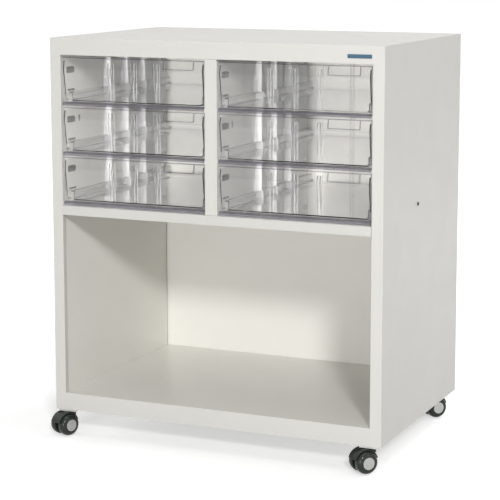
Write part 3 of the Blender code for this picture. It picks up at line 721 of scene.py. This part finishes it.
def addEndRibs(bm):
    # paired uprights on the front and the back, with a pad over each pair at the front
    d, r = drawer, ribs
    inner, bite, behind = d["bodyHalf"] - d["wall"], d["wall"] / 2, d["deep"] - d["wall"]
    low, top, padTop = d["floor"] + bite, d["sideTop"] - r["below"], d["height"] - d["frontWall"]
    slope = (d["lipCorner"] - d["creaseAt"]) / (d["crease"] - d["lip"])
    lowBack = d["lipCorner"] + d["frontWall"] - (low - d["lip"]) * slope
    rear = lowBack + r["height"]
    bandBack, creaseBack = d["bandTop"] + d["frontWall"], d["creaseAt"] + d["frontWall"]
    topBack = creaseBack + bandLean * (r["endTop"] - d["crease"])
    upright = [(lowBack - bite, low), (rear, low), (rear, r["endTop"]), (topBack - bite, r["endTop"]),
               (creaseBack - bite, d["crease"])]
    pad = [(creaseBack - bite, d["crease"]), (bandBack - bite, padTop),
           (bandBack + r["padRise"], padTop), (creaseBack + r["padRise"], d["crease"])]
    for share in r["end"]:
        station = (2 * share - 1) * inner
        for step in (-1, 1):
            near = station + step * r["slot"] / 2
            x0, x1 = sorted((near, near + step * r["endWidth"]))
            addBox(bm, (x0, behind - r["height"], low), (x1, behind + bite, top))
            addPrism(bm, upright, 0, x0, x1)
        addPrism(bm, pad, 0, station - r["pad"] / 2, station + r["pad"] / 2)


def addLabelPocket(bm):
    d, p = drawer, label
    right = d["frontHalf"] - p["inset"]
    left = right - p["width"]
    low, top = d["crease"] + p["lift"], d["height"] - p["rim"]
    outline = roundOutline([
        (left, top, 0), (left, low, p["corner"]), (right, low, p["corner"]), (right, top, 0),
        (right - p["rim"], top, 0), (right - p["rim"], low + p["rim"], p["innerCorner"]),
        (left + p["rim"], low + p["rim"], p["innerCorner"]), (left + p["rim"], top, 0)])
    for vert in addPrism(bm, outline, 1, d["creaseAt"] - p["rise"], d["creaseAt"] + d["frontWall"] / 2):
        vert.co.y += bandLean * (vert.co.z - d["crease"])


def addLugs(bm):
    # stops at the back that meet the spring tongues
    d = drawer
    y0, y1 = (d["deep"] - behind for behind in lug["behind"])
    for side in (-1, 1):
        x0, x1 = sorted((side * (d["bodyHalf"] - d["wall"] / 2), side * (d["bodyHalf"] + lug["out"])))
        addBox(bm, (x0, y0, lug["lift"][0]), (x1, y1, lug["lift"][1]))


# which plastic a face of the moulding has, by where it lies and how it faces; the darker edge plastic is
# painted shade along the lip, the label pocket and the ledges
drawerLooks = {"clear": clearPlastic, "edge": edgeShadePlastic, "rib": ribHighlightPlastic, "frontRib": frontRibHighlightPlastic,
               "flank": flankShadePlastic}
reach = {"skin": 0.0001, "ribEnds": 0.05, "frontRib": (0.009, 0.02), "ledgeFrom": 0.012, "ledgeSkin": 0.0002,
         "flankSkin": 0.0003, "pocketFrom": 0.001, "lipSkin": 0.0005}
facing = {"half": 0.5, "level": 0.7, "sideways": 0.9, "rounded": (0.1, 0.995)}


def onSideRib(point, normal):
    d, skin = drawer, reach["skin"]
    inner = (d["lowerHalf"] if point.z < d["ledge"] + d["wall"] else d["bodyHalf"]) - d["wall"]
    across = ribs["lowerCrest"] - skin < abs(point.x) < inner - skin
    along = reach["ribEnds"] < point.y < d["deep"] - reach["ribEnds"]
    return across and along and abs(normal.z) < facing["half"]


def onFrontRib(point, normal):
    # true on the rear edges of the upright ribs behind the front
    d, r = drawer, ribs
    span = 2 * (d["bodyHalf"] - d["wall"])
    near = min(abs(point.x - (share - 0.5) * span) for share in r["end"])
    across = r["slot"] / 2 < near < r["slot"] / 2 + r["endWidth"]
    return across and reach["frontRib"][0] < point.y < reach["frontRib"][1] and normal.y > facing["half"]


def onLedge(point, normal):
    # true on the ledges along the sides and on the rounded edges of the floor
    d, skin = drawer, reach["ledgeSkin"]
    if abs(point.x) < d["lowerHalf"] - d["corner"] - d["wall"] or point.y < reach["ledgeFrom"]:
        return False
    if d["ledge"] - skin < point.z < d["ledge"] + d["wall"] + skin:
        return abs(normal.z) > facing["level"]
    least, most = facing["rounded"]
    return point.z < d["floor"] + d["wall"] + d["corner"] and least < abs(normal.z) < most


def onFlank(point, normal):
    innermost = drawer["lowerHalf"] - drawer["wall"] - reach["flankSkin"]
    return abs(normal.x) > facing["sideways"] and abs(point.x) > innermost


def onPocket(point):
    # true in front of the leaning top band
    face = drawer["creaseAt"] + bandLean * (point.z - drawer["crease"])
    return point.z > drawer["crease"] + reach["pocketFrom"] and point.y < face - reach["skin"]


def onRim(point):
    # true on the pull lip and the ends of the front panel
    return point.z < drawer["lip"] + reach["lipSkin"] or abs(point.x) > drawer["frontHalf"] - reach["skin"]


def faceLook(point, normal):
    # rib faces get the plastic with the painted highlight
    if onSideRib(point, normal):
        return "rib"
    if onFrontRib(point, normal):
        return "frontRib"
    # painted shade on the lip, the pocket and the ledges
    if onRim(point) or onPocket(point) or onLedge(point, normal):
        return "edge"
    return "flank" if onFlank(point, normal) else "clear"


def frontCutter():
    # takes away all that the tub has in front of the middle of the front panel
    d, over, beyond = drawer, cutter["over"], cutter["beyond"]
    middle = d["frontWall"] / 2
    outline = [(-over, -over), (d["lipCorner"] + middle, -over), (d["lipCorner"] + middle, d["lip"]),
               (d["creaseAt"] + middle, d["crease"]), (d["bandTop"] + middle, d["height"]),
               (d["bandTop"] + middle, beyond), (-over, beyond)]
    bm = bmesh.new()
    addPrism(bm, outline, 0, -beyond, beyond)
    return workSolid(bm)


def drawerMesh():
    d, over = drawer, cutter["over"]
    inside = d["floor"] + d["wall"]
    solid = tubSolid(0, d["floor"], d["sideTop"], 0)
    combine(solid, noseSolid(0, d["floor"], d["sideTop"], 0), "UNION")
    combine(solid, tubSolid(d["wall"], inside, d["height"], -over), "DIFFERENCE")
    combine(solid, noseSolid(d["wall"], inside, d["height"], -over), "DIFFERENCE")
    combine(solid, frontCutter(), "DIFFERENCE")
    bm = bmesh.new()
    addPrism(bm, panelOutline(), 0, -d["frontHalf"], d["frontHalf"])
    combine(solid, workSolid(bm), "UNION")
    bm = bmesh.new()
    addSideRibs(bm)
    addEndRibs(bm)
    bmesh.ops.triangulate(bm, faces=bm.faces)  # flat faces on the tapered ribs
    addLabelPocket(bm)
    addLugs(bm)
    combine(solid, workSolid(bm), "UNION")
    bm = finishedSolid(solid)
    order = list(drawerLooks)
    for face in bm.faces:
        face.material_index = order.index(faceLook(face.calc_center_median(), face.normal))
    return meshFrom("drawerMoulding", bm, sharpAngle=24)


moulding = drawerMesh()
for side in ("left", "right"):
    for row in rowNames:
        name = f"{side}_drawer_{row}"
        low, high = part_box(name)
        form = moulding.copy()
        for material in drawerLooks.values():
            form.materials.append(material)
        piece = keepPiece(f"{side}{row.title()}Drawer", form, clearPlastic, name)
        form.transform(Matrix.Translation(((low.x + high.x) / 2, shell["front"], low.z)))
        evenShading(piece)
        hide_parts(name)


runner = {"sheet": 0.001, "tip": 0.003, "taper": 0.014, "cut": 0.005, "fold": 0.0006}


def buildRunner(side, place, row):
    # folded angle under the drawer's ledge, tapered at its front end
    r = runner
    node = f"{side}_{place}_runner_{row}"
    low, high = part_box(node)
    atLow = (side == "left") == (place == "outer")
    wallX, tipX = (low.x, high.x) if atLow else (high.x, low.x)
    cutX = tipX - r["cut"] if atLow else tipX + r["cut"]
    y0, y1, z0, z1 = low.y, high.y, low.z, high.z
    cells = [[(wallX, y0, z1), (wallX, y1, z1), (tipX, y1, z1), (tipX, y0 + r["cut"], z1), (cutX, y0, z1)],
             [(wallX, y0, z1), (wallX, y1, z1), (wallX, y1, z0), (wallX, y0 + r["taper"], z0),
              (wallX, y0, z1 - r["tip"])]]
    name = f"{side}{place.title()}{row.title()}Runner"
    piece = sheetPiece(name, cells, r["sheet"], r["fold"], (0, 0, 1), runnerPaint)
    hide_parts(node)


for side in ("left", "right"):
    for place in ("outer", "inner"):
        for row in rowNames:
            buildRunner(side, place, row)
print("drawers dressed")


# casters

hubCap = {"radius": 0.0104, "deep": 0.0024, "dome": 0.0009, "gap": 0.0002,
          "rim": ((0.35, 0.0003), (0.5, 0.0009), (0.3, 0.0016), (0.25, 0.0021)),
          "dish": ((0.6, 0.6), (0.9, 0.3)), "tip": 0.0004}
caster = {"segments": 64, "radius": 0.0189, "width": 0.0145, "face": 0.0135, "bore": 0.0036,
          "inner": 0.0046, "innerEdge": ((0, 0.0018), (0.0004, 0.0009), (0.0013, 0.0002), (0.0024, 0)),
          "crown": 0.42, "crownSteps": 10, "chamfer": 0.0004, "shoulder": 0.0006, "seatGap": 0.0003,
          "seatEdge": 0.0005}


def wheelMesh():
    c = caster
    w, r, drop = c["width"], c["radius"], c["radius"] - c["face"]
    profile = [(0, c["bore"])]
    profile += [(along, r - below) for along, below in c["innerEdge"]]
    crownLong = w * (1 - c["crown"]) - c["chamfer"]
    for step in range(c["crownSteps"] + 1):  # crowned outer shoulder
        angle = math.radians(90) * step / c["crownSteps"]
        profile.append((w * c["crown"] + crownLong * math.sin(angle), r - drop * (1 - math.cos(angle))))
    seat, floor = hubCap["radius"] + c["seatGap"], w - hubCap["deep"]
    profile += [(w, c["face"] - c["shoulder"]), (w, seat + c["seatEdge"]), (w - c["chamfer"], seat),
                (floor, seat), (floor, c["bore"])]
    bm = bmesh.new()
    turnProfile(bm, profile, c["segments"])
    return meshFrom("wheel", bm, sharpAngle=40)


def capMesh():
    h, w, r = hubCap, caster["width"], hubCap["radius"]
    profile = [(w - h["deep"] + h["gap"], r), (w - h["gap"], r)]
    profile += [(w + h["dome"] * up, r - below) for up, below in h["rim"]]
    profile += [(w + h["dome"] * up, r * out) for up, out in h["dish"]]
    profile.append((w + h["dome"], h["tip"]))
    bm = bmesh.new()
    turnProfile(bm, profile, caster["segments"], closed=False)
    return meshFrom("cap", bm, sharpAngle=40)


hood = {"outer": 0.0216, "inner": 0.0200, "half": 0.0115, "ends": (15, 165), "web": 0.0040, "trail": 0.0160,
        "boss": 0.0075, "bossLow": 0.0136, "top": 0.0222, "hub": 0.0066, "hubEnds": (200, 340),
        "hubSteps": 16, "bore": 0.0033, "steps": 48, "over": 1.1}


def arcPoints(radius, start, end, steps):
    turns = [math.radians(start + (end - start) * step / steps) for step in range(steps + 1)]
    return [(radius * math.cos(turn), radius * math.sin(turn)) for turn in turns]


def discSolid(radius, axis, start, end, shift=0, steps=64):
    bm = bmesh.new()
    outline = [(a, b + shift) for a, b in arcPoints(radius, 0, 360, steps)[:-1]]
    addPrism(bm, outline, axis, start, end)
    return workSolid(bm)


def hoodMesh():
    # fender over both wheels, web between them and boss round the swivel pin, seen from the axle
    h = hood
    bm = bmesh.new()
    outer = arcPoints(h["outer"], *h["ends"], h["steps"])
    inner = arcPoints(h["inner"], *h["ends"][::-1], h["steps"])
    addPrism(bm, outer + inner, 0, -h["half"], h["half"])
    solid = workSolid(bm)
    bm = bmesh.new()
    middle = arcPoints((h["outer"] + h["inner"]) / 2, *h["ends"], h["steps"])
    hub = arcPoints(h["hub"], *h["hubEnds"], h["hubSteps"])
    addPrism(bm, middle + hub, 0, -h["web"], h["web"])
    combine(solid, workSolid(bm), "UNION")
    combine(solid, discSolid(h["boss"], 2, h["bossLow"], h["top"], -h["trail"]), "UNION")
    for side in (-1, 1):
        start, end = sorted((side * h["web"], side * h["half"] * h["over"]))
        combine(solid, discSolid(h["inner"], 0, start, end), "DIFFERENCE")
    combine(solid, discSolid(h["bore"], 0, -h["half"], h["half"]), "DIFFERENCE")
    return meshFrom("hood", finishedSolid(solid), sharpAngle=30)


wheelForm, capForm, hoodForm = wheelMesh(), capMesh(), hoodMesh()


def placeHood(mesh, centre, pin):
    # Y of the mesh points from the swivel pin to the axle
    up = Vector((0, 0, 1))
    trail = (centre - pin) * Vector((1, 1, 0))
    trail.normalize()
    place = Matrix((trail.cross(up), trail, up)).transposed().to_4x4()
    place.translation = centre
    moved = mesh.copy()
    moved.transform(place)
    return moved


def placeOnAxle(mesh, spin, outward):
    # X of the mesh goes to the axle, pointing out of the caster
    up = Vector((0, 0, 1))
    axis = outward * Vector(spin["axis"])
    place = Matrix((axis, up.cross(axis), up)).transposed().to_4x4()
    place.translation = Vector(spin["pos_m"]) + axis * caster["inner"]
    moved = mesh.copy()
    moved.transform(place)
    return moved


def dressCaster(corner):
    title = "".join(word.title() for word in corner.split("_"))
    for number in ("1", "2"):
        spin = joints[f"{corner}_roller_{number}_spin"]
        low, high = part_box(f"{corner}_wheel_{number}")
        outward = 1 if ((low + high) / 2 - Vector(spin["pos_m"])).dot(Vector(spin["axis"])) > 0 else -1
        body = f"{corner}_roller_{number}"
        tyre, disc = placeOnAxle(wheelForm, spin, outward), placeOnAxle(capForm, spin, outward)
        wheel = keepPiece(f"wheel{title}{number}", tyre, blackPlastic, body)
        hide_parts(f"{corner}_wheel_{number}")
        cap = keepPiece(f"hubCap{title}{number}", disc, hubMetal, body)
        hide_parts(f"{corner}_cap_{number}")
    pin = Vector(joints[f"{corner}_caster_swivel"]["pos_m"])
    cover = placeHood(hoodForm, Vector(spin["pos_m"]), pin)
    piece = keepPiece("hood" + title, cover, blackPlastic, f"{corner}_caster")
    evenShading(piece)
    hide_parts(f"{corner}_hood")
    dress(nodes[corner + "_axle"], zincSteel, rounding=0.0003)
    dress(nodes[corner + "_caster_plate"], zincSteel, rounding=0.0005)


for corner in ("front_left", "front_right", "rear_left", "rear_right"):
    dressCaster(corner)
print("casters dressed")


# floor, lamps and camera

stage = {"size": 40, "floor": (0.72, 0.72, 0.72), "roughness": 0.9, "glow": 0.52, "near": 0.6, "far": 1.6,
         "ambient": 0.09, "aim": (0, 0, 0.35)}


def seenDirectly(tree):
    # 1 where the camera sees a surface directly, in a reflection or through clear plastic
    path = addNode(tree, "ShaderNodeLightPath")
    first = addNode(tree, "ShaderNodeMath", operation="MAXIMUM")
    second = addNode(tree, "ShaderNodeMath", operation="MAXIMUM")
    tree.links.new(path.outputs["Is Camera Ray"], first.inputs[0])
    tree.links.new(path.outputs["Is Glossy Ray"], first.inputs[1])
    tree.links.new(first.outputs["Value"], second.inputs[0])
    tree.links.new(path.outputs["Is Transmission Ray"], second.inputs[1])
    return second.outputs["Value"]


def buildFloor():
    # pale floor that fades to white away from the cabinet
    bm = bmesh.new()
    half = stage["size"] / 2
    corners = [(-half, -half), (half, -half), (half, half), (-half, half)]
    bm.faces.new([bm.verts.new((x, y, 0)) for x, y in corners])
    mesh = bpy.data.meshes.new("floor")
    bm.to_mesh(mesh)
    bm.free()
    floor = bpy.data.objects.new("floor", mesh)
    scene.collection.objects.link(floor)
    floor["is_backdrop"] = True
    material, tree, shader = startMaterial("pale floor")
    shader.inputs["Base Color"].default_value = (*stage["floor"], 1)
    shader.inputs["Roughness"].default_value = stage["roughness"]
    shader.inputs["Specular IOR Level"].default_value = 0.0
    shader.inputs["Emission Color"].default_value = (1, 1, 1, 1)
    coords = addNode(tree, "ShaderNodeTexCoord")
    away = addNode(tree, "ShaderNodeVectorMath", operation="LENGTH")
    tree.links.new(coords.outputs["Object"], away.inputs[0])
    fade = addNode(tree, "ShaderNodeMapRange", {"From Min": stage["near"], "From Max": stage["far"],
                                                "To Min": stage["glow"], "To Max": 1.0})
    tree.links.new(away.outputs["Value"], fade.inputs["Value"])
    glow = addNode(tree, "ShaderNodeMath", operation="MULTIPLY")
    tree.links.new(seenDirectly(tree), glow.inputs[0])
    tree.links.new(fade.outputs["Result"], glow.inputs[1])
    tree.links.new(glow.outputs["Value"], shader.inputs["Emission Strength"])
    mesh.materials.append(material)


def buildWorld():
    # white to the camera, but dim as a light
    world = bpy.data.worlds.new("studio")
    world.use_nodes = True
    scene.world = world
    tree = world.node_tree
    backdrop = tree.nodes["Background"]
    backdrop.inputs["Color"].default_value = (1, 1, 1, 1)
    strength = addNode(tree, "ShaderNodeMapRange", {"To Min": stage["ambient"], "To Max": 1.0})
    tree.links.new(seenDirectly(tree), strength.inputs["Value"])
    tree.links.new(strength.outputs["Result"], backdrop.inputs["Strength"])


lamps = {"key": {"turn": 31.5, "lift": 24.3, "away": 6, "size": 0.7, "power": 178},
         "fill": {"turn": 2, "lift": 3, "away": 6, "size": 0.9, "power": 113},
         "side": {"turn": 76, "lift": 15, "away": 4, "size": 1.5, "power": 7},
         "rear": {"turn": 150, "lift": 38, "away": 4, "size": 2.0, "power": 76, "mirrored": False},
         "left": {"turn": 262, "lift": 16, "away": 4, "size": 1.5, "power": 42},
         "overhead": {"turn": 20, "lift": 80, "away": 2.4, "size": 1.8, "power": 16}}


def addLamp(name, turn, lift, away, size, power, mirrored=True):
    data = bpy.data.lights.new(name, "AREA")
    data.shape = "DISK"
    data.size = size
    data.energy = power
    lamp = bpy.data.objects.new(name, data)
    scene.collection.objects.link(lamp)
    turn, lift = math.radians(turn), math.radians(lift)
    outward = Vector((math.sin(turn) * math.cos(lift), -math.cos(turn) * math.cos(lift), math.sin(lift)))
    lamp.location = Vector(stage["aim"]) + away * outward
    lamp.rotation_mode = "QUATERNION"
    lamp.rotation_quaternion = (-outward).to_track_quat("-Z", "Y")
    lamp.visible_camera = False
    lamp.visible_glossy = mirrored  # a lamp that would glare in the top isn't mirrored


buildFloor()
buildWorld()
for name, values in lamps.items():
    addLamp(name, **values)

view = {"place": (1.192, -2.720, 0.848), "turn": 23.587, "tilt": 8.428, "sensor": 36, "lens": 123.5,
        "shift": (-0.024, -0.106)}


def addCamera():
    data = bpy.data.cameras.new("camera")
    data.sensor_width = view["sensor"]
    data.lens = view["lens"]
    data.shift_x, data.shift_y = view["shift"]
    camera = bpy.data.objects.new("camera", data)
    scene.collection.objects.link(camera)
    turn, tilt = math.radians(view["turn"]), math.radians(view["tilt"])
    ahead = Vector((-math.sin(turn) * math.cos(tilt), math.cos(turn) * math.cos(tilt), -math.sin(tilt)))
    camera.location = view["place"]
    camera.rotation_mode = "QUATERNION"
    camera.rotation_quaternion = ahead.to_track_quat("-Z", "Y")
    scene.camera = camera


addCamera()
scene.view_settings.view_transform = "Standard"
print("stage, lamps and camera set")

low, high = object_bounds()
